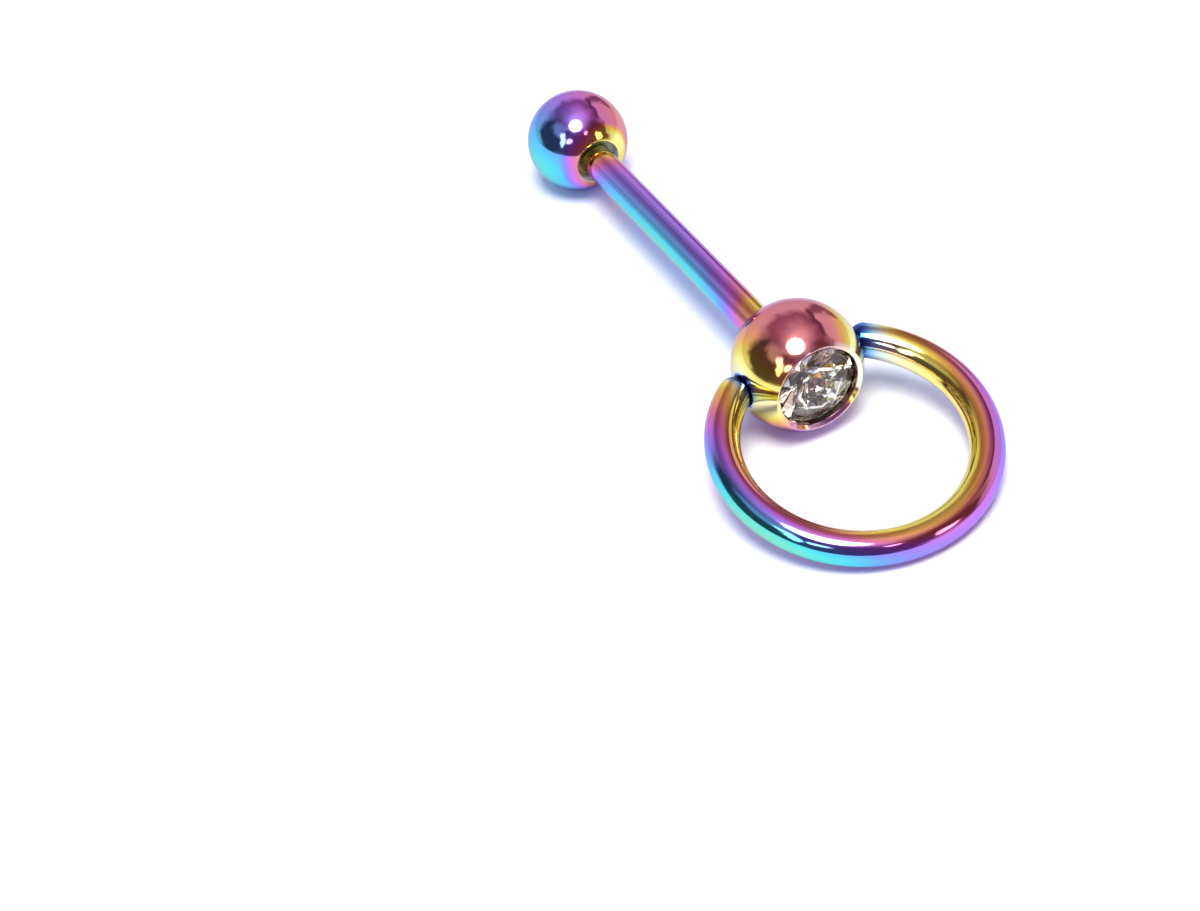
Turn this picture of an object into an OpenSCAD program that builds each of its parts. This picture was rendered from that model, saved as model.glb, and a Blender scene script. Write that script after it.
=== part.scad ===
// Door knocker tongue ring: a straight barbell with a small ball at its lower end and a
// larger ball in front. The larger ball holds a round cut stone in its flat face, and a
// captive ring that hinges in two side pockets. It lies on the floor on both balls and on
// the far edge of the ring. Lengths are in millimetres, X runs along the bar to the ring.

/* [Bar] */
// Diameter of the bar, 14 gauge
bar_d = 1.6; // [1.2:0.1:1.8]
// Clear length of the bar between the two balls
bar_l = 16; // [12:1:22]
// Diameter of the plain stub at each end of the bar, hidden in a ball
stub_d = 1.1; // [0.7:0.1:1.1]

/* [End ball] */
// Diameter of the ball on the far end of the bar
end_ball_d = 5; // [4:0.5:6]
// Width of the countersink round the bar
sink_w = 2.3; // [2:0.1:2.8]
// Depth of the countersink, from its rim to the bar's shoulder
sink_depth = 0.17; // [0.1:0.01:0.4]

/* [Gem ball] */
// Diameter of the ball that holds the stone and the ring
gem_ball_d = 6; // [6:0.5:8]
// Width of the bevelled rim round the stone
rim_w = 0.2; // [0.1:0.02:0.3]
// Depth of that bevel
rim_depth = 0.11; // [0.05:0.01:0.2]

/* [Stone] */
// Diameter of the round cut stone
stone_d = 3.9; // [3:0.1:4]
// Width of the table as a share of the stone's diameter
table_share = 0.56; // [0.5:0.01:0.64]
// Height of the crown above the girdle
crown_h = 0.4; // [0.3:0.02:0.6]
// Thickness of the girdle
girdle_h = 0.08; // [0.04:0.01:0.14]
// Depth of the pavilion below the girdle
pavilion_h = 1.6; // [1.2:0.05:1.7]

/* [Ring] */
// Inner diameter of the captive ring
ring_inner_d = 10; // [8:0.5:14]
// Diameter of the ring's wire, 14 gauge
wire_d = 1.6; // [1.2:0.1:1.6]
// Distance of the ring's pivot in front of the middle of the gem ball
pivot_x = 0.26; // [0:0.02:0.4]
// Distance from the gem ball's side out to the middle of each rounded end of the wire
end_out = 0.4; // [0.3:0.05:0.5]

/* [Hidden] */
// Gap between two pieces that are fixed together
gap = 0.02;
// Running clearance between the ring's rounded ends and their pockets
play = 0.06;
// Length of the stub beyond each shoulder of the bar
stub_l = 1.9;
// Width of the narrow flat outside the bevelled rim
flat_w = 0.03;

bar_r = bar_d / 2;
wire_r = wire_d / 2;
stub_r = stub_d / 2;
end_r = end_ball_d / 2;
ball_r = gem_ball_d / 2;
stone_r = stone_d / 2;

// Distance between the centres of the two balls, and the bar's rise from the small ball
span = end_r + bar_l + ball_r;
bar_rise = asin((ball_r - end_r) / span);
// The ring's wire ends where it crosses the pivot axis, just outside the gem ball
ring_r = (ring_inner_d + wire_d) / 2;
pivot_y = ball_r + end_out;
ring_reach = sqrt(ring_r * ring_r - pivot_y * pivot_y);
half_turn = 180 - asin(pivot_y / ring_r);
// Dip of the ring from the pivot to where its far edge meets the floor
pivot_z = ball_r + pivot_x * sin(bar_rise);
ring_dip = asin((pivot_z - wire_r) / (ring_reach + ring_r));
// The rounded ends of the wire and the side pockets are spheres about the pivot axis
dome_r = wire_r + 0.03;
pocket_r = dome_r + play;

// Places along the bar, from the centre of the end ball and of the gem ball
sink_x = sqrt(end_r * end_r - sink_w * sink_w / 4);
shoulder_x = sink_x - sink_depth;
back_x = sqrt(ball_r * ball_r - bar_r * bar_r);
seat_r = stone_r + gap;
face_x = sqrt(ball_r * ball_r - pow(seat_r + rim_w + flat_w, 2));
girdle_x = face_x - crown_h;

// Middle of the whole length, so that the origin is below it
x_low = -end_r;
x_high = (span + pivot_x) * cos(bar_rise) + (ring_reach + ring_r) * cos(ring_dip) + wire_r;
x_mid = (x_low + x_high) / 2;

$fn = 96;

// Puts its children on the bar: centre of the end ball at the origin, X along the bar
module along_bar() {
    translate([-x_mid, 0, end_r])
        rotate([0, -bar_rise, 0])
            children();
}

// Puts its children at the centre of the gem ball, X along the bar
module at_gem_ball() {
    along_bar()
        translate([span, 0, 0])
            children();
}

// Puts its children at the pivot of the ring, X towards the far edge of the ring
module at_pivot() {
    at_gem_ball()
        translate([pivot_x, 0, 0])
            rotate([0, bar_rise + ring_dip, 0])
                children();
}

// A rod on the X axis from x0 to x1
module rod(x0, x1, r) {
    translate([x0, 0, 0])
        rotate([0, 90, 0])
            cylinder(h = x1 - x0, r = r);
}

// A cone on the X axis from x0 to x1
module taper(x0, x1, r0, r1) {
    translate([x0, 0, 0])
        rotate([0, 90, 0])
            cylinder(h = x1 - x0, r1 = r0, r2 = r1);
}

// Two spheres of radius r on the pivot axis, one at each side of the gem ball
module side_spheres(r) {
    for (side = [-1, 1])
        translate([pivot_x, side * pivot_y, 0])
            sphere(r = r);
}

// Small ball with a blind hole for the bar's stub and a countersink round the bar
module end_ball() {
    wall_r = bar_r + gap;
    color("mediumorchid")
        along_bar()
            difference() {
                sphere(r = end_r);
                taper(shoulder_x, sink_x, wall_r, sink_w / 2);
                rod(sink_x, end_r + 1, sink_w / 2);
                rod(shoulder_x - stub_l - gap, shoulder_x + gap, stub_r + gap);
            }
}

// Straight bar with a shoulder and a plain stub at each end
module bar() {
    shaft_0 = shoulder_x + gap;
    shaft_1 = span - back_x - gap;
    color("slateblue")
        along_bar()
            union() {
                rod(shaft_0, shaft_1, bar_r);
                rod(shaft_0 - stub_l, shaft_1 + stub_l, stub_r);
            }
}

// Ball with the stone's seat in front, a flat spot for the bar behind and two side pockets
module gem_ball() {
    color("indianred")
        at_gem_ball()
            difference() {
                sphere(r = ball_r);
                rod(face_x, ball_r + 1, ball_r);
                taper(face_x - rim_depth, face_x, seat_r, seat_r + rim_w);
                rod(-ball_r - 1, -back_x, ball_r);
                rod(girdle_x - girdle_h, face_x + 1, seat_r);
                taper(girdle_x - girdle_h - pavilion_h - gap, girdle_x - girdle_h, gap, seat_r);
                rod(-back_x - 1, -back_x + stub_l + gap, stub_r + gap);
                side_spheres(pocket_r);
            }
}

// Corners of a level polygon with n corners, turned by the angle turn
function corners(n, r, z, turn = 0) =
    [for (i = [0 : n - 1]) [r * cos(360 * i / n + turn), r * sin(360 * i / n + turn), z]];

// Round brilliant about the Z axis, girdle's upper edge at z = 0: a table, 8 stars, 8 kites
// and 16 girdle facets on the crown, 16 lower facets and 8 mains on the pavilion
module brilliant(r) {
    step = 45;
    half = step / 2;
    table_r = r * table_share;
    star_r = (table_r + r) / 2;
    star_z = crown_h * (r - star_r * cos(half)) / (r - table_r);
    low_r = r * 0.25;
    low_z = -girdle_h - pavilion_h * (1 - low_r * cos(half) / r);
    points = concat(
        corners(8, table_r, crown_h),
        corners(8, star_r, star_z, half),
        corners(16, r, 0),
        corners(16, r, -girdle_h),
        corners(8, low_r, low_z, half),
        [[0, 0, -girdle_h - pavilion_h]]
    );
    // First point of each row of corners
    table = 0;
    star = 8;
    top = 16;
    under = 32;
    low = 48;
    culet = 56;
    faces = concat(
        [[for (i = [7 : -1 : 0]) table + i]],
        [for (i = [0 : 7]) [table + i, table + (i + 1) % 8, star + i]],
        [for (i = [0 : 7]) [table + i, star + i, top + 2 * i, star + (i + 7) % 8]],
        [for (i = [0 : 7]) [star + i, top + 2 * i + 1, top + 2 * i]],
        [for (i = [0 : 7]) [star + i, top + (2 * i + 2) % 16, top + 2 * i + 1]],
        [for (j = [0 : 15]) [top + j, top + (j + 1) % 16, under + (j + 1) % 16, under + j]],
        [for (i = [0 : 7]) [low + i, under + 2 * i, under + 2 * i + 1]],
        [for (i = [0 : 7]) [low + i, under + 2 * i + 1, under + (2 * i + 2) % 16]],
        [for (i = [0 : 7]) [culet, low + (i + 7) % 8, under + 2 * i, low + i]]
    );
    polyhedron(points = points, faces = faces);
}

// Cut stone in its seat, its table level with the rim of the gem ball
module stone() {
    color("gainsboro")
        at_gem_ball()
            translate([girdle_x, 0, 0])
                rotate([0, 90, 0])
                    brilliant(stone_r);
}

// What lies past an end of the ring's wire, outside the sphere that rounds it
module past_end(side) {
    translate([ring_reach, 0, 0])
        rotate([0, 0, side * half_turn])
            translate([ring_r, 0, 0])
                difference() {
                    translate([-wire_d, side < 0 ? -2 * wire_d : 0, -wire_d])
                        cube(2 * wire_d);
                    sphere(r = dome_r);
                }
}

// Ring of round wire, open at the gem ball, with a rounded end in each side pocket
module knocker_ring() {
    // Half of the wire's arc, on past its rounded end
    long_turn = half_turn + asin(dome_r / ring_r);
    color("mediumpurple")
        at_pivot()
            difference() {
                translate([ring_reach, 0, 0])
                    rotate([0, 0, -long_turn])
                        rotate_extrude(angle = 2 * long_turn)
                            translate([ring_r, 0])
                                circle(r = wire_r);
                past_end(-1);
                past_end(1);
            }
}

end_ball();
bar();
gem_ball();
stone();
knocker_ring();
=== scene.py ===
"""Looks for a door knocker tongue ring: polished steel with a rainbow coat, and a cut crystal.

Each CAD solid is replaced by a finer mesh of the same form. Lengths are in millimetres,
and every mesh is scaled to metres when it is made.
"""
import math

import bmesh
import bpy
import numpy as np
from mathutils import Matrix, Vector


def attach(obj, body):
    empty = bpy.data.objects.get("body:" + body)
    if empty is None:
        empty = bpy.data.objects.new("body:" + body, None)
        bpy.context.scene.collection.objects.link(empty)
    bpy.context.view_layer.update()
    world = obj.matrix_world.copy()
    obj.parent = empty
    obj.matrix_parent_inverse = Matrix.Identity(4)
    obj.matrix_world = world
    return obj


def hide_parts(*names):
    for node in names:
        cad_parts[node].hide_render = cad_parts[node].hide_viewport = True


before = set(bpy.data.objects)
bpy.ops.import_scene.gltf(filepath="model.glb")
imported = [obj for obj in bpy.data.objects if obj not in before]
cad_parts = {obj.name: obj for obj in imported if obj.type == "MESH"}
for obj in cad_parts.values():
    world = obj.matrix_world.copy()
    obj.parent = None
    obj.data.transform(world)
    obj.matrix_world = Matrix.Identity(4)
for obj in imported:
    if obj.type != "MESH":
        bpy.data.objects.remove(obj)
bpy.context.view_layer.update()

MM = 0.001

# Driving sizes of the jewel
bar_d = 1.6
bar_l = 16.0
stub_d = 1.1
stub_l = 1.9
end_ball_d = 5.0
sink_w = 2.3
sink_depth = 0.17
gem_ball_d = 6.0
rim_w = 0.2
rim_depth = 0.11
flat_w = 0.03
stone_d = 3.9
table_share = 0.56
crown_h = 0.4
girdle_h = 0.08
pavilion_h = 1.6
ring_inner_d = 10.0
wire_d = 1.6
gap = 0.02
pivot_x = 0.26
end_out = 0.4
play = 0.06
dome_extra = 0.03

bar_r = bar_d / 2
wire_r = wire_d / 2
stub_r = stub_d / 2
end_r = end_ball_d / 2
ball_r = gem_ball_d / 2
stone_r = stone_d / 2
bore_r = stub_r + gap

# Distance between the balls' centres, and the angles at which the bar and the ring lie
span = end_r + bar_l + ball_r
bar_rise = math.asin((ball_r - end_r) / span)
ring_r = (ring_inner_d + wire_d) / 2
pivot_y = ball_r + end_out
pivot_z = ball_r + pivot_x * math.sin(bar_rise)
ring_reach = math.sqrt(ring_r**2 - pivot_y**2)
ring_dip = math.asin((pivot_z - wire_r) / (ring_reach + ring_r))
dome_r = wire_r + dome_extra
pocket_r = dome_r + play

# Places along the bar, from the centre of the end ball and of the gem ball
sink_x = math.sqrt(end_r**2 - (sink_w / 2) ** 2)
shoulder_x = sink_x - sink_depth
back_x = math.sqrt(ball_r**2 - bar_r**2)
seat_r = stone_r + gap
face_r = seat_r + rim_w + flat_w
face_x = math.sqrt(ball_r**2 - face_r**2)
girdle_x = face_x - crown_h
seat_x = girdle_x - girdle_h
x_low = -end_r
ring_x = (ring_reach + ring_r) * math.cos(ring_dip) + wire_r
x_high = (span + pivot_x) * math.cos(bar_rise) + ring_x
x_mid = (x_low + x_high) / 2

# The frames of the bar, the gem ball and the ring's pivot, each with X towards the ring
along_bar = Matrix.Translation((-x_mid, 0, end_r)) @ Matrix.Rotation(-bar_rise, 4, "Y")
at_gem_ball = along_bar @ Matrix.Translation((span, 0, 0))
to_pivot = Matrix.Translation((pivot_x, 0, 0))
at_pivot = at_gem_ball @ to_pivot @ Matrix.Rotation(bar_rise + ring_dip, 4, "Y")

# How finely the meshes are made
lathe_sides = 192
ball_step = 0.08
line_step = 0.5
slope_step = 0.05
shaft_step = 0.1
seat_step = 0.2
lip_step = 0.03
wire_sides = 72
ring_step = 0.1
dome_steps = 20
edge_steps = 6

# How far the small round curves reach at the corners of an outline
rim_curve = 0.04
bore_curve = 0.015
shaft_curve = 0.02
seat_curve = 0.03
pocket_curve = 0.07

# The most of a path that such a curve may take
corner_share = 0.4

# How far outside a pocket's lip the ball is cut away, in degrees
lip_margin = 2

# How near a cutting plane a point has to be to lie on it, and to count as a point of the cut
plane_reach = 1e-3
cut_reach = 2e-3


# Outlines

def length_of(points):
    """Length of a path."""
    return np.linalg.norm(np.diff(points, axis=0), axis=1).sum()


def arc(centre, radius, start, end, step):
    """Points on an arc, from the angle start to the angle end in degrees."""
    length = abs(math.radians(end - start)) * radius
    count = max(4, int(round(length / step)))
    angles = np.radians(np.linspace(start, end, count + 1))
    return np.array(centre) + radius * np.column_stack([np.cos(angles), np.sin(angles)])


def line(start, end, step=line_step):
    """Points on a straight line."""
    count = max(1, int(round(math.dist(start, end) / step)))
    share = np.linspace(0, 1, count + 1)[:, None]
    return np.array(start) * (1 - share) + np.array(end) * share


def cut_back(points, reach):
    """The path without its last stretch of the length reach."""
    run = np.concatenate([[0], np.cumsum(np.linalg.norm(np.diff(points, axis=0), axis=1))])
    left = run[-1] - reach
    kept = points[run < left - 0.2 * reach]
    last = [np.interp(left, run, points[:, k]) for k in range(2)]
    return np.vstack([kept, last])


def joined(paths, reach):
    """Paths joined end to end, with a small round curve in place of each corner."""
    whole = paths[0]
    for path in paths[1:]:
        corner = path[0]
        size = min(reach, corner_share * length_of(whole), corner_share * length_of(path))
        before = cut_back(whole, size)
        after = cut_back(path[::-1], size)[::-1]
        t = np.linspace(0, 1, edge_steps + 2)[1:-1, None]
        bend = (1 - t) ** 2 * before[-1] + 2 * t * (1 - t) * corner + t**2 * after[0]
        whole = np.vstack([before, bend, after])
    return whole


def normals_of(points):
    """Unit normals on the left of a path, true to second order on uneven steps."""
    steps = np.diff(points, axis=0)
    lengths = np.linalg.norm(steps, axis=1)[:, None]
    slopes = steps / lengths
    middle = (slopes[:-1] * lengths[1:] + slopes[1:] * lengths[:-1]) / (lengths[1:] + lengths[:-1])
    tangents = np.vstack([slopes[:1], middle, slopes[-1:]])
    tangents /= np.linalg.norm(tangents, axis=1)[:, None]
    return np.column_stack([-tangents[:, 1], tangents[:, 0]])


# Meshes

class Net:
    """Points, normals and faces of a piece while it is built, in its own frame."""

    def __init__(self):
        self.points = []
        self.normals = []
        self.faces = []

    def row(self, points, normals):
        """Adds a row of points, and gives their numbers."""
        first = len(self.points)
        self.points.extend(np.asarray(points, float).tolist())
        self.normals.extend(np.asarray(normals, float).tolist())
        return list(range(first, len(self.points)))

    def band(self, low, high):
        """Faces between two closed rows, each turning from Y to Z about X."""
        for i in range(len(low)):
            j = (i + 1) % len(low)
            self.faces.append((low[i], low[j], high[j], high[i]))

    def bands(self, rows):
        """Faces between each row and the next."""
        for low, high in zip(rows, rows[1:]):
            self.band(low, high)

    def close_low(self, pole, row):
        """A fan from a pole on the -X side."""
        for i in range(len(row)):
            self.faces.append((pole, row[(i + 1) % len(row)], row[i]))

    def close_high(self, row, pole):
        """A fan to a pole on the +X side."""
        for i in range(len(row)):
            self.faces.append((pole, row[i], row[(i + 1) % len(row)]))

    def turned_rows(self, profile, lean, angles):
        """Rows of a profile of (x, r) turned about X, at the given angles."""
        around = np.column_stack([np.zeros(len(angles)), np.cos(angles), np.sin(angles)])
        rows = []
        for (x, r), (along, out) in zip(profile, lean):
            rows.append(self.row(around * r + [x, 0, 0], around * out + [along, 0, 0]))
        return rows

    def lathe(self, profile):
        """A profile from pole to pole, running towards +X with the outside on its left."""
        angles = np.linspace(0, 2 * math.pi, lathe_sides, endpoint=False)
        lean = normals_of(profile)
        rows = self.turned_rows(profile[1:-1], lean[1:-1], angles)
        low = self.row([[profile[0][0], 0, 0]], [[-1, 0, 0]])[0]
        high = self.row([[profile[-1][0], 0, 0]], [[1, 0, 0]])[0]
        self.close_low(low, rows[0])
        self.bands(rows)
        self.close_high(rows[-1], high)
        return self

    def turned(self, turn):
        """Turns all points and normals by a 3 by 3 matrix."""
        self.points = (np.array(self.points) @ turn.T).tolist()
        self.normals = (np.array(self.normals) @ turn.T).tolist()

    def sliced(self, x):
        """Takes off what lies beyond the plane at x, and gives the cut's points round X."""
        solid = bmesh.new()
        store = solid.verts.layers.float_vector.new("lean")
        for spot, lean in zip(self.points, self.normals):
            solid.verts.new(spot)[store] = lean
        solid.verts.ensure_lookup_table()
        for face in self.faces:
            solid.faces.new([solid.verts[k] for k in face])
        parts = solid.verts[:] + solid.edges[:] + solid.faces[:]
        bmesh.ops.bisect_plane(
            solid,
            geom=parts,
            dist=plane_reach,
            plane_co=(x, 0, 0),
            plane_no=(1, 0, 0),
            clear_outer=True,
        )
        solid.verts.index_update()
        self.points = [list(vert.co) for vert in solid.verts]
        self.normals = [list(vert[store]) for vert in solid.verts]
        self.faces = [tuple(vert.index for vert in face.verts) for face in solid.faces]
        solid.free()
        points = np.array(self.points)
        cut = np.flatnonzero(np.abs(points[:, 0] - x) < cut_reach)
        angles = np.arctan2(points[cut, 2], points[cut, 1])
        order = np.argsort(angles)
        return cut[order].tolist(), angles[order]

    def piece(self, name, place, coat):
        """The mesh as an object in metres, with what the function coat gives for each point."""
        points = np.array(self.points)
        normals = np.array(self.normals)
        normals /= np.linalg.norm(normals, axis=1)[:, None]
        turn = np.array(place)
        spots = (points @ turn[:3, :3].T + turn[:3, 3]) * MM
        mesh = bpy.data.meshes.new(name)
        mesh.from_pydata(spots.tolist(), [], self.faces)
        mesh.validate()
        mesh.shade_smooth()
        mesh.normals_split_custom_set_from_vertices((normals @ turn[:3, :3].T).tolist())
        for key, values in coat(points, normals).items():
            attribute = mesh.attributes.new(key, "FLOAT", "POINT")
            attribute.data.foreach_set("value", values.astype(np.float32))
        made = bpy.data.objects.new(name, mesh)
        bpy.context.scene.collection.objects.link(made)
        return made


# The coat on each piece. Film is its thickness, from 0 at deep blue over gold, rose and violet
# to 1 at teal. Bare and sheen is where steel shows through it, and also a painted highlight on the
# stone's rim. Dull and shade is where it was never polished, and also painted shade in the
# countersink, the seat, the pockets and the bores.

def ease(low, high, value):
    """0 at low, 1 at high, and a smooth rise between them."""
    t = np.clip((value - low) / (high - low), 0, 1)
    return t * t * (3 - 2 * t)


def mixed(a, b, share):
    """From a to b by a share."""
    return a * (1 - share) + b * share


def column(table, key, at):
    """A column of a table, read at the given places of its first column."""
    rows = np.array(table[1:], float)
    names = table[0]
    return np.interp(at, rows[:, 0], rows[:, names.index(key)])


def end_ball_coat(points, normals):
    """Violet on top, teal on the -Y side, rose and gold on the +Y side, grey in the countersink
    with painted shade there.
    """
    radius = np.linalg.norm(points, axis=1)
    out = points / radius[:, None]
    x, y, z = out.T
    near_sink = ease(0.64, 0.92 - 0.12 * ease(-0.3, 0.3, y), x)
    # Thicker towards -Y and on the lower half, thinner beside the countersink
    film = 0.725 - 0.2 * y - 0.26 * near_sink + 0.05 * ease(0.4, -0.1, z)
    from_bar = np.hypot(points[:, 1], points[:, 2])
    in_sink = ease(end_r - 0.012, end_r - 0.04, radius) * (points[:, 0] > 0)
    in_bore = ease(bar_r + 0.01, bar_r - 0.05, from_bar) * in_sink
    lip = ease(0.07, 0.0, np.abs(from_bar - sink_w / 2)) * (points[:, 0] > 0) * (1 - in_sink)
    # The countersink and the bore are unpolished and darkened as painted shade; the lip is paled
    # towards bare steel
    return {
        "film": mixed(film, 0.20, in_sink),
        "dull_and_shade": 0.70 * in_sink + 0.3 * in_bore,
        "bare_and_sheen": 0.15 * lip + 0.55 * in_sink,
    }


# Film along the bar, on its bright upper side and on the far side from that
bar_table = [
    ("share", "bright", "far"),
    (0.000, 0.34, 0.46),
    (0.040, 0.38, 0.60),
    (0.065, 0.46, 0.72),
    (0.088, 0.55, 0.80),
    (0.110, 0.62, 0.85),
    (0.140, 0.69, 0.90),
    (0.180, 0.72, 0.94),
    (0.300, 0.73, 0.98),
    (0.500, 0.74, 1.00),
    (0.720, 0.70, 0.98),
    (0.800, 0.65, 0.95),
    (0.850, 0.60, 0.88),
    (0.885, 0.54, 0.82),
    (0.905, 0.46, 0.76),
    (0.920, 0.43, 0.72),
    (1.000, 0.42, 0.64),
]


def bar_coat(points, normals):
    """Violet on the upper +Y side, blue and teal on the -Y side, rose and gold at both ends."""
    towards_bright = normals @ [0, 0.915, 0.404]
    side = np.clip(0.5 - 0.5 * towards_bright, 0, 1)
    share = (points[:, 0] - shoulder_x) / (span - back_x - shoulder_x)
    film = mixed(column(bar_table, "bright", share), column(bar_table, "far", share), side**1.4)
    # The stubs, hidden in the balls, are unpolished and darkened as painted shade
    stub = ease(bar_r - 0.02, bar_r - 0.08, np.hypot(points[:, 1], points[:, 2]))
    return {"film": film, "dull_and_shade": 0.6 * stub, "bare_and_sheen": 0 * film}


def gem_ball_coat(points, normals):
    """Rose over the top, gold towards the pockets, blue in them, pale steel on the stone's rim as a
    painted highlight, and painted shade in the seat.
    """
    radius = np.linalg.norm(points, axis=1)
    out = points / radius[:, None]
    x, y, z = out.T
    towards_side = np.abs(y) + 0.16 * ease(0.3, 0.6, y) + 0.2 * ease(0.3, 0.8, x)
    # Thinner towards both sides, thicker underneath
    thinner = np.clip((towards_side - 0.35) / 0.6, 0, 1) ** 2.2
    film = 0.60 - 0.27 * thinner + 0.1 * ease(-0.1, -0.6, z)
    from_end = points - [pivot_x, 0, 0] - np.sign(y)[:, None] * [0, pivot_y, 0]
    in_pocket = ease(pocket_r + 0.2, pocket_r + 0.005, np.linalg.norm(from_end, axis=1))
    pocket_film = 0.03 + 0.36 * ease(0.35, 0.85, from_end[:, 0])
    from_bar = np.hypot(points[:, 1], points[:, 2])
    # The seat wall is darkened as painted shade, and the pockets a little, where they are also
    # unpolished
    in_seat = ease(seat_r + 0.03, seat_r + 0.008, from_bar) * (points[:, 0] > pocket_r)
    in_bore = (from_bar < bar_r - 0.03) * (points[:, 0] < 0)
    # A painted highlight: the stone's rim is paled towards bare steel, more on the +Y side
    rim = ease(face_x - rim_depth - 0.02, face_x - rim_depth + 0.01, points[:, 0]) * (1 - in_seat)
    return {
        "film": mixed(mixed(film, pocket_film, in_pocket), 0.60, in_seat),
        "dull_and_shade": np.clip(0.75 * in_seat + 0.7 * in_bore + 0.1 * in_pocket, 0, 1),
        "bare_and_sheen": np.clip(0.35 + 0.3 * y, 0.1, 0.6) * rim,
    }


# Film round the ring, by the angle from its far edge in degrees
ring_table = [
    ("angle", "outer", "top", "inner"),
    (-152, 0.02, 0.00, 0.00),
    (-147, 0.18, 0.04, 0.02),
    (-145, 0.42, 0.30, 0.10),
    (-141, 0.50, 0.44, 0.26),
    (-134, 0.57, 0.51, 0.34),
    (-126, 0.69, 0.60, 0.38),
    (-116, 0.82, 0.66, 0.40),
    (-100, 0.94, 0.71, 0.43),
    (-80, 1.00, 0.73, 0.52),
    (-60, 1.00, 0.69, 0.52),
    (-35, 0.94, 0.62, 0.46),
    (-22, 0.88, 0.53, 0.42),
    (-12, 0.83, 0.48, 0.40),
    (10, 0.77, 0.45, 0.39),
    (28, 0.75, 0.49, 0.40),
    (45, 0.79, 0.57, 0.40),
    (62, 0.83, 0.63, 0.40),
    (80, 0.80, 0.63, 0.40),
    (95, 0.73, 0.62, 0.40),
    (110, 0.62, 0.54, 0.38),
    (122, 0.55, 0.47, 0.34),
    (130, 0.51, 0.44, 0.30),
    (136, 0.44, 0.36, 0.26),
    (141, 0.34, 0.22, 0.17),
    (145, 0.20, 0.10, 0.07),
    (149, 0.12, 0.04, 0.02),
    (152, 0.06, 0.00, 0.00),
]


def ring_coat(points, normals):
    """Blue and gold near the pockets, then rose and violet, thicker on the outer side."""
    from_centre = points - [ring_reach, 0, 0]
    radius = np.linalg.norm(from_centre[:, :2], axis=1)
    outer = np.clip((radius - ring_r) / wire_r, -1, 1)
    angle = np.degrees(np.arctan2(from_centre[:, 1], from_centre[:, 0]))
    top = column(ring_table, "top", angle)
    outside = mixed(top, column(ring_table, "outer", angle), np.abs(outer))
    inside = mixed(top, column(ring_table, "inner", angle), np.abs(outer) ** 0.5)
    film = np.where(outer > 0, outside, inside)
    return {"film": film, "dull_and_shade": 0 * film, "bare_and_sheen": 0 * film}


# Pieces

def make_end_ball():
    """Small ball with a countersink round the bar and a blind bore."""
    half_sink = math.degrees(math.atan2(sink_w / 2, sink_x))
    bore_end = shoulder_x - stub_l - gap
    outside = joined([
        arc((0, 0), end_r, 180, half_sink, ball_step),
        line((sink_x, sink_w / 2), (shoulder_x, bar_r + gap), slope_step),
    ], rim_curve)
    profile = joined([
        outside,
        line((shoulder_x, bar_r + gap), (shoulder_x, bore_r)),
        line((shoulder_x, bore_r), (bore_end, bore_r)),
        line((bore_end, bore_r), (bore_end, 0)),
    ], bore_curve)
    return Net().lathe(profile).piece("end_ball_fine", along_bar, end_ball_coat)


def make_bar():
    """Bar with a shoulder and a plain stub at each end."""
    shaft_0 = shoulder_x + gap
    shaft_1 = span - back_x - gap
    profile = joined([
        line((shaft_0 - stub_l, 0), (shaft_0 - stub_l, stub_r)),
        line((shaft_0 - stub_l, stub_r), (shaft_0, stub_r)),
        line((shaft_0, stub_r), (shaft_0, bar_r)),
        line((shaft_0, bar_r), (shaft_1, bar_r), shaft_step),
        line((shaft_1, bar_r), (shaft_1, stub_r)),
        line((shaft_1, stub_r), (shaft_1 + stub_l, stub_r)),
        line((shaft_1 + stub_l, stub_r), (shaft_1 + stub_l, 0)),
    ], shaft_curve)
    return Net().lathe(profile).piece("bar_fine", along_bar, bar_coat)


def ball_outline():
    """The gem ball's outline, from the end of the bar's bore to the point of the stone's seat."""
    seat_end = seat_x - pavilion_h - gap
    bore_end = -back_x + stub_l + gap
    front = math.degrees(math.atan2(face_r, face_x))
    back = 180 - math.degrees(math.atan2(bar_r, back_x))
    back_path = joined([
        line((bore_end, 0), (bore_end, bore_r)),
        line((bore_end, bore_r), (-back_x, bore_r)),
        line((-back_x, bore_r), (-back_x, bar_r)),
        arc((0, 0), ball_r, back, front, ball_step),
    ], shaft_curve)
    return joined([
        back_path,
        line((face_x, face_r), (face_x, seat_r + rim_w)),
        line((face_x, seat_r + rim_w), (face_x - rim_depth, seat_r), slope_step),
        line((face_x - rim_depth, seat_r), (seat_x, seat_r), shaft_step),
        line((seat_x, seat_r), (seat_end, gap), seat_step),
        line((seat_end, gap), (seat_end, 0)),
    ], seat_curve)


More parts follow.
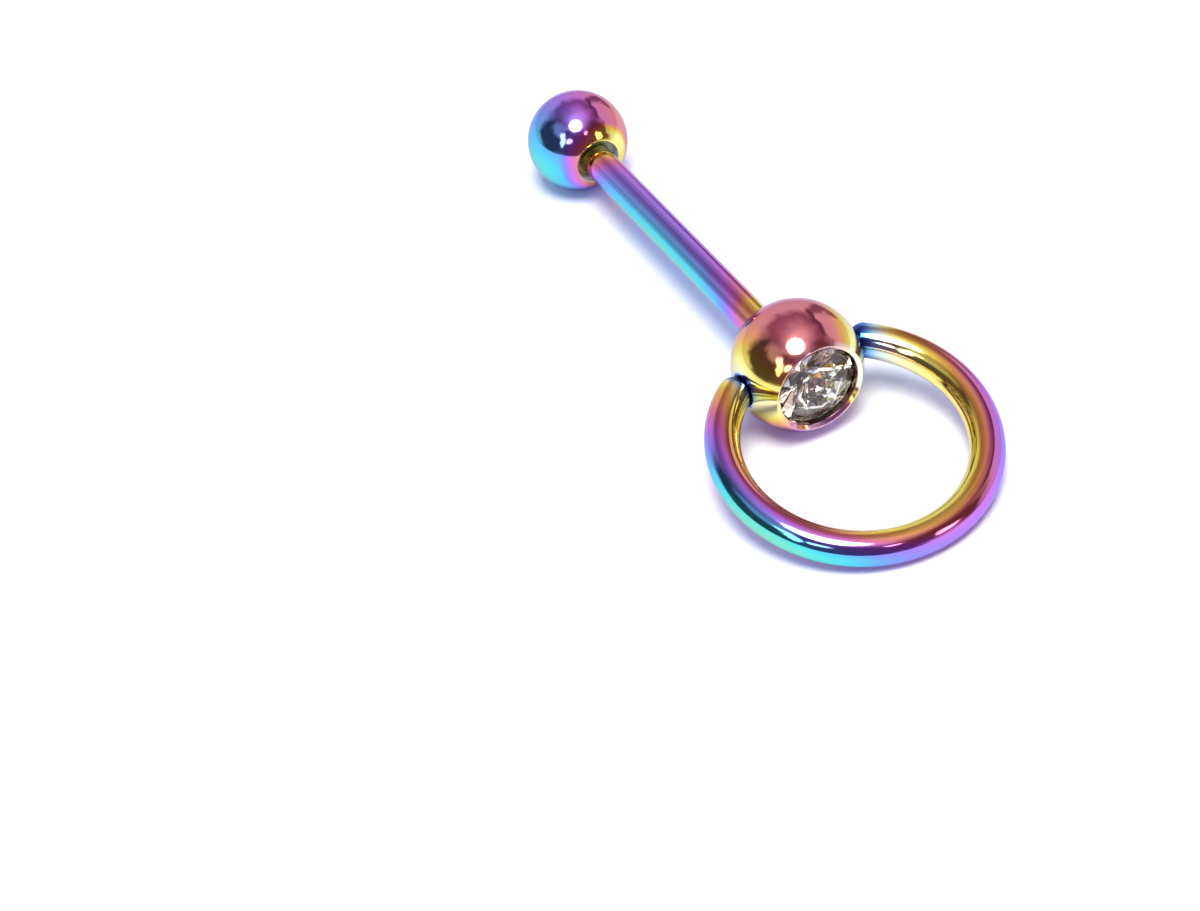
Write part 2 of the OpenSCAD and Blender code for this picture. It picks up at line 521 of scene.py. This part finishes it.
def add_pocket(net, side):
    """Cuts the pocket for an end of the ring into the ball, on the side of +Y or -Y."""
    away = math.hypot(pivot_x, pivot_y)
    lip_x = (away**2 + ball_r**2 - pocket_r**2) / (2 * away)
    lip_r = math.sqrt(ball_r**2 - lip_x**2)
    lip = math.degrees(math.atan2(lip_r, lip_x))
    inside = math.degrees(math.atan2(lip_r, away - lip_x))
    path = joined([
        arc((0, 0), ball_r, lip + lip_margin, lip, lip_step),
        arc((away, 0), pocket_r, 180 - inside, 180, ball_step),
    ], pocket_curve)
    turn = np.array(Matrix.Rotation(math.atan2(side * pivot_y, pivot_x), 3, "Z"))
    net.turned(turn.T)
    row, angles = net.sliced(path[0][0])
    for k, angle in zip(row, angles):
        lean = path[0] / ball_r
        net.normals[k] = [lean[0], lean[1] * math.cos(angle), lean[1] * math.sin(angle)]
        net.points[k] = [ball_r * value for value in net.normals[k]]
    rows = net.turned_rows(path[1:-1], normals_of(path)[1:-1], angles)
    net.bands([row] + rows)
    net.close_high(rows[-1], net.row([[path[-1][0], 0, 0]], [[1, 0, 0]])[0])
    net.turned(turn)


def make_gem_ball():
    """Ball with the stone's seat in front, a flat spot for the bar behind and two side pockets."""
    net = Net().lathe(ball_outline())
    add_pocket(net, -1)
    add_pocket(net, 1)
    return net.piece("gem_ball_fine", at_gem_ball, gem_ball_coat)


def make_knocker_ring():
    """Ring of round wire, with a rounded end in each pocket."""
    run = math.sqrt(dome_r**2 - wire_r**2)
    half = math.pi - math.asin(pivot_y / ring_r) + run / ring_r
    count = int(round(2 * half * ring_r / ring_step))
    around = np.linspace(0, 2 * math.pi, wire_sides, endpoint=False)
    net = Net()
    rows = []
    for turn in np.linspace(-half, half, count + 1):
        out = np.array([math.cos(turn), math.sin(turn), 0])
        lean = np.outer(np.cos(around), out) + np.outer(np.sin(around), [0, 0, -1])
        middle = np.array([ring_reach, 0, 0]) + ring_r * out
        rows.append(net.row(middle + wire_r * lean, lean))
    for end, side in ((0, -1), (-1, 1)):
        pivot = np.array([0, side * pivot_y, 0])
        turn = side * half
        pole = np.array([-math.sin(turn), math.cos(turn), 0]) * side
        spots = np.array([net.points[k] for k in rows[end]]) - pivot
        start = spots / np.linalg.norm(spots, axis=1)[:, None]
        angle = np.arccos(np.clip(start @ pole, -1, 1))[:, None]
        dome = []
        for share in np.linspace(0, 1, dome_steps + 1)[1:-1]:
            from_start = np.sin((1 - share) * angle) * start
            from_pole = np.sin(share * angle) * pole
            lean = (from_start + from_pole) / np.sin(angle)
            dome.append(net.row(pivot + dome_r * lean, lean))
        tip = net.row([pivot + dome_r * pole], [pole])[0]
        if side < 0:
            net.close_low(tip, dome[-1])
            net.bands(dome[::-1] + [rows[0]])
        else:
            net.bands([rows[-1]] + dome)
            net.close_high(dome[-1], tip)
    net.bands(rows)
    return net.piece("knocker_ring_fine", at_pivot, ring_coat)


def corners(count, radius, z, turn=0.0):
    """Corners of a level polygon."""
    angles = np.radians(turn) + np.arange(count) * 2 * math.pi / count
    return [(radius * math.cos(a), radius * math.sin(a), z) for a in angles]


# Widths of the stone's bevelled edges, in the crown and round the table, where the bevel carries a
# painted glint
edge_w = 0.05
table_edge_w = 0.17
# Painted light and shade of its facets from 0 to 1: where they start, the step to the next one, and
# two kinds, a painted bright table and painted dark kites
facet_shading_start = 0.43
facet_shading_step = 0.618
table_light = 1
kite_shade = 0.05
# The facets beside the girdle that carry a painted glint, as bright as the table's bevel
painted_glint_facets = (15, 19, 23)
# Its materials by their place in the mesh
clear, foiled, painted_glint = range(3)


def bevel(solid, edges, width, material):
    """Bevels the edges, with the given material on the bevels."""
    bmesh.ops.bevel(
        solid,
        geom=edges,
        offset=width / 2 * MM,
        segments=1,
        affect="EDGES",
        material=material,
    )


def all_clear(faces):
    """Whether all the faces are of clear crystal."""
    return all(face.material_index == clear for face in faces)


def sort_faces(solid):
    """Lists the faces by their corners, because bevels list them in another order at each run."""
    solid.verts.index_update()
    ordered = sorted(solid.faces, key=lambda face: [corner.index for corner in face.verts])
    for place, face in enumerate(ordered):
        face.index = place
    solid.faces.sort()


def make_stone():
    """Round brilliant: table, 8 stars, 8 kites, 16 rim facets, girdle, and 24 facets below."""
    half = 180 / 8
    narrow = math.cos(math.radians(half))
    table_r = stone_r * table_share
    star_r = (table_r + stone_r) / 2
    star_z = crown_h * (stone_r - star_r * narrow) / (stone_r - table_r)
    low_r = stone_r / 4
    low_z = -girdle_h - pavilion_h * (1 - low_r * narrow / stone_r)
    points = (
        corners(8, table_r, crown_h)
        + corners(8, star_r, star_z, half)
        + corners(16, stone_r, 0)
        + corners(16, stone_r, -girdle_h)
        + corners(8, low_r, low_z, half)
        + [(0, 0, -girdle_h - pavilion_h)]
    )
    # First point of each row of corners
    table, star, top, under, low, culet = 0, 8, 16, 32, 48, 56
    crown = [tuple(range(8))]
    kites = []
    back = []
    for i in range(8):
        after = (i + 1) % 8
        before = (i + 7) % 8
        edge_0 = 2 * i
        edge_1 = 2 * i + 1
        edge_2 = (2 * i + 2) % 16
        crown.append((table + after, table + i, star + i))
        kites.append(len(crown))
        crown.append((star + i, table + i, star + before, top + edge_0))
        crown.append((top + edge_1, star + i, top + edge_0))
        crown.append((top + edge_2, star + i, top + edge_1))
        back.append((under + edge_1, under + edge_0, low + i))
        back.append((under + edge_2, under + edge_1, low + i))
        back.append((under + edge_0, low + before, culet, low + i))
    for j in range(16):
        after = (j + 1) % 16
        back.append((under + after, top + after, top + j, under + j))
    to_girdle = Matrix.Translation((girdle_x, 0, 0))
    turn = np.array(at_gem_ball @ to_girdle @ Matrix.Rotation(math.pi / 2, 4, "Y"))
    spots = (np.array(points) @ turn[:3, :3].T + turn[:3, 3]) * MM
    mesh = bpy.data.meshes.new("stone_fine")
    mesh.from_pydata(spots.tolist(), [], crown + back)
    mesh.validate()
    mesh.shade_flat()
    # Painted light and shade for each facet: a spread of tones, a painted bright table and painted
    # dark kites
    facet_shading = mesh.attributes.new("facet_shading", "FLOAT", "FACE")
    for polygon in mesh.polygons:
        polygon.material_index = clear if polygon.index < len(crown) else foiled
        facet_shading.data[polygon.index].value = (facet_shading_start + facet_shading_step * polygon.index) % 1
    facet_shading.data[0].value = table_light
    for index in kites:
        facet_shading.data[index].value = kite_shade
    # A few facets beside the girdle carry a painted glint
    for index in painted_glint_facets:
        mesh.polygons[index].material_index = painted_glint
    solid = bmesh.new()
    solid.from_mesh(mesh)
    solid.faces.ensure_lookup_table()
    # The table's bevel carries a painted glint
    bevel(solid, list(solid.faces[0].edges), table_edge_w, painted_glint)
    bevel(solid, [e for e in solid.edges if all_clear(e.link_faces)], edge_w, clear)
    sort_faces(solid)
    solid.to_mesh(mesh)
    solid.free()
    made = bpy.data.objects.new("stone_fine", mesh)
    bpy.context.scene.collection.objects.link(made)
    return made


# Materials

def linear(red, green, blue):
    """A colour given as seen, from 0 to 255, as linear values by the sRGB curve."""
    seen = np.array([red, green, blue]) / 255
    value = np.where(seen <= 0.04045, seen / 12.92, ((seen + 0.055) / 1.055) ** 2.4)
    return (*value.tolist(), 1.0)


# The coat's colours by its thickness
coat_colours = [
    (0.00, linear(16, 22, 74)),
    (0.07, linear(34, 72, 150)),
    (0.14, linear(94, 146, 204)),
    (0.22, linear(166, 200, 212)),
    (0.30, linear(216, 222, 188)),
    (0.38, linear(234, 224, 126)),
    (0.44, linear(224, 198, 82)),
    (0.50, linear(222, 166, 86)),
    (0.55, linear(222, 148, 112)),
    (0.60, linear(210, 124, 132)),
    (0.66, linear(202, 110, 168)),
    (0.71, linear(190, 112, 204)),
    (0.76, linear(162, 116, 220)),
    (0.82, linear(132, 130, 220)),
    (0.87, linear(102, 154, 220)),
    (0.92, linear(80, 188, 212)),
    (0.96, linear(82, 204, 192)),
    (1.00, linear(112, 204, 174)),
]
crystal_ior = 1.58
# Pale steel where the coat is worn through, also used for a painted highlight on the stone's rim
bare_steel_and_sheen = linear(230, 226, 226)
# Dark grey of unpolished steel, also used for painted shade in hollows
unpolished_and_shade = linear(74, 82, 76)


def new_material(name):
    """A material with its Principled shader, its nodes and its links."""
    material = bpy.data.materials.new(name)
    material.use_nodes = True
    nodes = material.node_tree.nodes
    return material, nodes, material.node_tree.links, nodes["Principled BSDF"]


def noise(nodes, links, place, scale, detail):
    """A noise texture at a scale of so many waves a metre."""
    made = nodes.new("ShaderNodeTexNoise")
    made.inputs["Scale"].default_value = scale
    made.inputs["Detail"].default_value = detail
    links.new(place.outputs["Object"], made.inputs["Vector"])
    return made.outputs["Fac"]


def map_range(nodes, links, value, from_range, to_range):
    """A value moved from one range to another."""
    made = nodes.new("ShaderNodeMapRange")
    made.inputs["From Min"].default_value = from_range[0]
    made.inputs["From Max"].default_value = from_range[1]
    made.inputs["To Min"].default_value = to_range[0]
    made.inputs["To Max"].default_value = to_range[1]
    links.new(value, made.inputs["Value"])
    return made.outputs["Result"]


def mix_colour(nodes, links, share, a, b):
    """A colour from a to b by a share, each a socket or a colour."""
    made = nodes.new("ShaderNodeMix")
    made.data_type = "RGBA"
    colour_sockets = [s for s in made.inputs if s.type == "RGBA"]
    for socket, colour in zip(colour_sockets, (a, b)):
        if isinstance(colour, bpy.types.NodeSocket):
            links.new(colour, socket)
        else:
            socket.default_value = colour
    links.new(share, made.inputs["Factor"])
    return next(s for s in made.outputs if s.type == "RGBA")


def math_node(nodes, links, operation, *values):
    """One value worked out from others, each a socket or a number."""
    made = nodes.new("ShaderNodeMath")
    made.operation = operation
    for socket, value in zip(made.inputs, values):
        if isinstance(value, bpy.types.NodeSocket):
            links.new(value, socket)
        else:
            socket.default_value = value
    return made.outputs["Value"]


def attribute(nodes, name):
    """A value stored on the mesh."""
    made = nodes.new("ShaderNodeAttribute")
    made.attribute_name = name
    return made.outputs["Fac"]


def colour_ramp(nodes, links, value, colours):
    """A ramp through the given colours."""
    made = nodes.new("ShaderNodeValToRGB")
    stops = made.color_ramp.elements
    stops[0].position, stops[0].color = colours[0]
    stops[-1].position, stops[-1].color = colours[-1]
    for at, colour in colours[1:-1]:
        stops.new(at).color = colour
    links.new(value, made.inputs["Fac"])
    return made.outputs["Color"]


def coat_material(name):
    """Mirror-polished steel under an interference coat whose colour follows the film value, with
    pale steel mixed in for bare spots and a painted highlight, and dark grey for unpolished spots
    and painted shade.
    """
    material, nodes, links, shader = new_material(name)
    place = nodes.new("ShaderNodeTexCoord")
    cloud = noise(nodes, links, place, scale=420, detail=3)
    drift = map_range(nodes, links, cloud, (0, 1), (-0.02, 0.02))
    film = math_node(nodes, links, "ADD", attribute(nodes, "film"), drift)
    colour = colour_ramp(nodes, links, film, coat_colours)
    # Pale steel where the coat is worn through, which also paints a highlight on the stone's rim
    colour = mix_colour(nodes, links, attribute(nodes, "bare_and_sheen"), colour, bare_steel_and_sheen)
    # Dark grey where the steel is unpolished, which also paints shade in the countersink, the seat,
    # the pockets and the bores
    dull_and_shade = attribute(nodes, "dull_and_shade")
    colour = mix_colour(nodes, links, dull_and_shade, colour, unpolished_and_shade)
    links.new(colour, shader.inputs["Base Color"])

    # Faint polishing marks: an uneven gloss and a very shallow grain
    grain = noise(nodes, links, place, scale=2600, detail=4)
    gloss = map_range(nodes, links, grain, (0.3, 0.7), (0.05, 0.12))
    rough = math_node(nodes, links, "MULTIPLY_ADD", dull_and_shade, 0.25, gloss)
    links.new(rough, shader.inputs["Roughness"])
    bump = nodes.new("ShaderNodeBump")
    bump.inputs["Strength"].default_value = 0.02
    bump.inputs["Distance"].default_value = 0.02 * MM
    links.new(grain, bump.inputs["Height"])
    links.new(bump.outputs["Normal"], shader.inputs["Normal"])
    shader.inputs["Metallic"].default_value = 1.0
    shader.inputs["Specular Tint"].default_value = (0.62, 0.58, 0.66, 1)
    shader.inputs["Coat Weight"].default_value = 0.2
    shader.inputs["Coat Roughness"].default_value = 0.05
    return material


def crystal_material():
    """Clear cut crystal, in which each facet shows painted light and shade of its own."""
    material, nodes, links, shader = new_material("crystal")
    place = nodes.new("ShaderNodeTexCoord")
    cloud = noise(nodes, links, place, scale=900, detail=2)
    # The painted facet shading, made a little uneven
    uneven_shading = map_range(nodes, links, cloud, (0, 1), (-0.08, 0.08))
    facet_shading = math_node(nodes, links, "ADD", attribute(nodes, "facet_shading"), uneven_shading)
    tint = colour_ramp(nodes, links, facet_shading, [
        (0.00, linear(126, 98, 94)),
        (0.30, linear(200, 188, 186)),
        (0.55, linear(240, 246, 242)),
        (1.00, linear(255, 255, 253)),
    ])
    links.new(tint, shader.inputs["Base Color"])
    shader.inputs["Roughness"].default_value = 0.0
    shader.inputs["IOR"].default_value = crystal_ior
    shader.inputs["Transmission Weight"].default_value = 1.0
    return material


def painted_glint_material():
    """Painted glint on edges and small facets of the crystal, in part too rough and pale to see
    through.
    """
    material, nodes, links, shader = new_material("crystal_painted_glint")
    place = nodes.new("ShaderNodeTexCoord")
    cloud = noise(nodes, links, place, scale=1300, detail=1)
    tint = colour_ramp(nodes, links, cloud, [
        (0.34, linear(206, 200, 196)),
        (0.56, linear(255, 253, 248)),
    ])
    links.new(tint, shader.inputs["Base Color"])
    clearness = map_range(nodes, links, cloud, (0.40, 0.53), (0.96, 0.0))
    links.new(clearness, shader.inputs["Transmission Weight"])
    shader.inputs["Roughness"].default_value = 0.12
    shader.inputs["IOR"].default_value = crystal_ior
    return material


def foil_material():
    """Silvered back of the crystal, darker behind some facets than others as painted shade."""
    material, nodes, links, shader = new_material("silver_foil")
    place = nodes.new("ShaderNodeTexCoord")
    cloud = noise(nodes, links, place, scale=1400, detail=2)
    # The painted shade of the foil, made a little uneven
    uneven_foil_shading = map_range(nodes, links, cloud, (0, 1), (-0.12, 0.12))
    facet_shading = math_node(nodes, links, "ADD", attribute(nodes, "facet_shading"), uneven_foil_shading)
    tint = colour_ramp(nodes, links, facet_shading, [
        (0.00, linear(132, 114, 112)),
        (0.25, linear(194, 188, 186)),
        (0.50, linear(230, 238, 230)),
        (1.00, linear(255, 255, 253)),
    ])
    links.new(tint, shader.inputs["Base Color"])
    shader.inputs["Metallic"].default_value = 1.0
    shader.inputs["Roughness"].default_value = 0.02
    return material


end_ball = make_end_ball()
end_ball.data.materials.append(coat_material("end_ball_coat"))
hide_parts("end_ball")
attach(end_ball, "barbell")

bar = make_bar()
bar.data.materials.append(coat_material("bar_coat"))
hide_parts("bar")
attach(bar, "barbell")

gem_ball = make_gem_ball()
gem_ball.data.materials.append(coat_material("gem_ball_coat"))
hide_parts("gem_ball")
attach(gem_ball, "barbell")

stone = make_stone()
stone.data.materials.append(crystal_material())
stone.data.materials.append(foil_material())
stone.data.materials.append(painted_glint_material())
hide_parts("stone")
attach(stone, "barbell")

knocker_ring = make_knocker_ring()
knocker_ring.data.materials.append(coat_material("ring_coat"))
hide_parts("knocker_ring")
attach(knocker_ring, "ring")


# Camera, at the photo's angle: it looks past the jewel, which lies in the upper right
look_at = Vector((3.6887, -8.9115, 0)) * MM
camera_azimuth = math.radians(67.043)
camera_elevation = math.radians(41.606)
camera_roll = math.radians(-7.1575)
camera_distance = 133.375 * MM
camera_lens = 88.79


def direction(azimuth, elevation):
    """Unit vector towards an azimuth and an elevation in radians, azimuth 0 being -Y."""
    level = math.cos(elevation)
    return Vector((math.sin(azimuth) * level, -math.cos(azimuth) * level, math.sin(elevation)))


def camera_axes():
    """The directions towards the camera, to the right and up in its picture."""
    back = direction(camera_azimuth, camera_elevation)
    level = Vector((0, 0, 1)).cross(back).normalized()
    turn = Matrix.Rotation(camera_roll, 3, back)
    return back, turn @ level, turn @ back.cross(level)


def make_camera():
    """Camera with a true perspective and no shift."""
    back, right, up = camera_axes()
    lens = bpy.data.cameras.new("camera")
    lens.lens = camera_lens
    lens.sensor_width = 36
    lens.clip_start = 1 * MM
    lens.clip_end = 10
    camera = bpy.data.objects.new("camera", lens)
    turn = Matrix((right, up, back)).transposed()
    camera.matrix_world = Matrix.Translation(look_at + back * camera_distance) @ turn.to_4x4()
    bpy.context.scene.collection.objects.link(camera)
    bpy.context.scene.camera = camera


make_camera()


# Floor and light

def make_floor():
    """Plain white floor."""
    reach = 1.5
    mesh = bpy.data.meshes.new("floor")
    mesh.from_pydata(
        [(-reach, -reach, 0), (reach, -reach, 0), (reach, reach, 0), (-reach, reach, 0)],
        [],
        [(0, 1, 2, 3)],
    )
    floor = bpy.data.objects.new("floor", mesh)
    bpy.context.scene.collection.objects.link(floor)
    material, _, _, shader = new_material("floor_white")
    shader.inputs["Base Color"].default_value = (0.93, 0.93, 0.94, 1)
    shader.inputs["Roughness"].default_value = 0.6
    shader.inputs["Specular IOR Level"].default_value = 0.2
    mesh.materials.append(material)


def make_world():
    """Pale studio, laid out by where its parts show in a mirror ball seen from the camera."""
    world = bpy.data.worlds.new("studio")
    bpy.context.scene.world = world
    world.use_nodes = True
    nodes = world.node_tree.nodes
    links = world.node_tree.links
    back, right, up = camera_axes()

    def number(operation, *values):
        """One value worked out from others."""
        return math_node(nodes, links, operation, *values)

    def vector(operation, a, b):
        """A node that works on the vector a, and on the fixed vector b if there is one."""
        made = nodes.new("ShaderNodeVectorMath")
        made.operation = operation
        links.new(a, made.inputs[0])
        if b is not None:
            made.inputs[1].default_value = b
        return made

    # x and y are where a direction shows in the ball, from -1 to 1, with y up
    place = nodes.new("ShaderNodeTexCoord")
    half = vector("ADD", place.outputs["Generated"], back).outputs["Vector"]
    half = vector("NORMALIZE", half, None).outputs["Vector"]

    def seen_at(axis, shift):
        """Where it shows along an axis, made a little uneven like a real room's edges."""
        moved = vector("ADD", half, (shift, shift, shift)).outputs["Vector"]
        wave = nodes.new("ShaderNodeTexNoise")
        wave.inputs["Scale"].default_value = 5.0
        wave.inputs["Detail"].default_value = 3.0
        links.new(moved, wave.inputs["Vector"])
        straight = vector("DOT_PRODUCT", half, axis).outputs["Value"]
        drift = map_range(nodes, links, wave.outputs["Fac"], (0, 1), (-0.1, 0.1))
        return number("ADD", straight, drift)

    x = seen_at(right, 0.0)
    y = seen_at(up, 7.0)

    def fall(value, full, none):
        """1 where the value is at full, 0 where it is at none."""
        made = nodes.new("ShaderNodeMapRange")
        made.interpolation_type = "SMOOTHSTEP"
        made.inputs["From Min"].default_value = none
        made.inputs["From Max"].default_value = full
        links.new(value, made.inputs["Value"])
        return made.outputs["Result"]

    def oval(centre, size, soft):
        """1 inside an oval with the half sizes given, 0 outside it."""
        across = number("DIVIDE", number("SUBTRACT", x, centre[0]), size[0])
        along = number("DIVIDE", number("SUBTRACT", y, centre[1]), size[1])
        squares = number("ADD", number("POWER", across, 2), number("POWER", along, 2))
        return fall(number("SQRT", squares), 1 - soft, 1 + soft)

    def either(*masks):
        """The highest of several masks."""
        highest = masks[0]
        for mask in masks[1:]:
            highest = number("MAXIMUM", highest, mask)
        return highest

    def both(a, b):
        """The product of two masks."""
        return number("MULTIPLY", a, b)

    # A dim ceiling that ends at a slanted dark beam, with two dark spots beyond it
    slant = number("MULTIPLY_ADD", y, 0.5, x)
    from_beam = number("ABSOLUTE", number("SUBTRACT", slant, 0.58))
    ceiling = both(oval((-0.03, 0.46), (0.46, 0.31), 0.22), fall(slant, 0.54, 0.62))
    inside = both(oval((-0.02, 0.50), (0.27, 0.18), 0.45), fall(slant, 0.42, 0.52))
    corner = either(
        oval((0.34, 0.80), (0.15, 0.08), 0.4),
        oval((0.52, 0.74), (0.14, 0.06), 0.5),
    )
    beam = both(oval((0.29, 0.60), (0.30, 0.24), 0.3), fall(from_beam, 0.02, 0.06))

    # The dark room, low on the camera's side, with its windows and lamps
    left = oval((-0.50, 0.06), (0.24, 0.35), 0.2)
    middle = oval((-0.05, -0.12), (0.45, 0.28), 0.16)
    right_side = oval((0.34, 0.12), (0.28, 0.23), 0.26)
    patch = oval((-0.37, 0.16), (0.11, 0.14), 0.5)
    pane = either(
        oval((-0.30, -0.05), (0.055, 0.15), 0.15),
        oval((-0.15, -0.08), (0.06, 0.05), 0.2),
        oval((0.18, 0.07), (0.035, 0.045), 0.2),
        oval((0.43, 0.05), (0.05, 0.09), 0.2),
    )
    faint_pane = oval((0.60, 0.20), (0.04, 0.07), 0.3)
    glow = oval((-0.01, 0.33), (0.16, 0.18), 0.95)

    def level(value, blue=1.0):
        """A grey, or a bluer one."""
        return (value, value, value * blue, 1)

    colour = level(1.0)
    for mask, tint in (
        (corner, (0.38, 0.24, 0.34, 1)),
        (ceiling, (0.38, 0.23, 0.34, 1)),
        (inside, (0.58, 0.40, 0.54, 1)),
        (beam, (0.20, 0.12, 0.20, 1)),
        (right_side, (0.20, 0.09, 0.10, 1)),
        (middle, (0.21, 0.10, 0.20, 1)),
        (left, (0.11, 0.09, 0.12, 1)),
        (patch, level(0.62, blue=1.1)),
        (faint_pane, level(0.8)),
        (pane, level(4.0)),
        (glow, level(1.4)),
    ):
        colour = mix_colour(nodes, links, mask, colour, tint)

    # What is seen through the stone is a room of patches, so that its facets differ in tone
    cells = nodes.new("ShaderNodeTexVoronoi")
    cells.inputs["Scale"].default_value = 1.9
    turned = vector("ADD", place.outputs["Generated"], (0.3, 0.1, 0.7)).outputs["Vector"]
    links.new(turned, cells.inputs["Vector"])
    split = nodes.new("ShaderNodeSeparateColor")
    links.new(cells.outputs["Color"], split.inputs["Color"])
    tones = colour_ramp(nodes, links, split.outputs["Red"], [
        (0.00, linear(62, 42, 40)),
        (0.18, linear(116, 100, 98)),
        (0.34, linear(166, 164, 162)),
        (0.46, linear(210, 222, 208)),
        (0.58, (1.2, 1.2, 1.2, 1)),
        (1.00, (5.5, 5.5, 5.4, 1)),
    ])
    path = nodes.new("ShaderNodeLightPath")
    colour = mix_colour(nodes, links, path.outputs["Is Transmission Ray"], colour, tones)

    # The light on rough surfaces is cooler than what the steel mirrors
    fill = nodes.new("ShaderNodeVectorMath")
    fill.operation = "MULTIPLY"
    fill.inputs[1].default_value = (0.61, 0.86, 1.30)
    links.new(colour, fill.inputs[0])
    cooler = fill.outputs["Vector"]
    colour = mix_colour(nodes, links, path.outputs["Is Diffuse Ray"], colour, cooler)
    links.new(colour, nodes["Background"].inputs["Color"])


def make_key():
    """Soft round key light, high on the camera's side."""
    key_direction = Vector((0.285, -0.160, 0.945)).normalized()
    key_distance = 0.4
    half_width = math.radians(14)
    lamp = bpy.data.lights.new("key", "AREA")
    lamp.shape = "DISK"
    lamp.size = 2 * key_distance * math.tan(half_width)
    lamp.energy = 1.8
    lamp.color = (1.0, 0.97, 0.90)
    key = bpy.data.objects.new("key", lamp)
    key.location = key_direction * key_distance
    key.rotation_mode = "QUATERNION"
    key.rotation_quaternion = key_direction.to_track_quat("Z", "Y")
    bpy.context.scene.collection.objects.link(key)


make_floor()
make_world()
make_key()
bpy.context.scene.view_settings.view_transform = "Standard"

# Light runs to and fro many times inside the cut stone
bpy.context.scene.cycles.max_bounces = 24
bpy.context.scene.cycles.glossy_bounces = 16
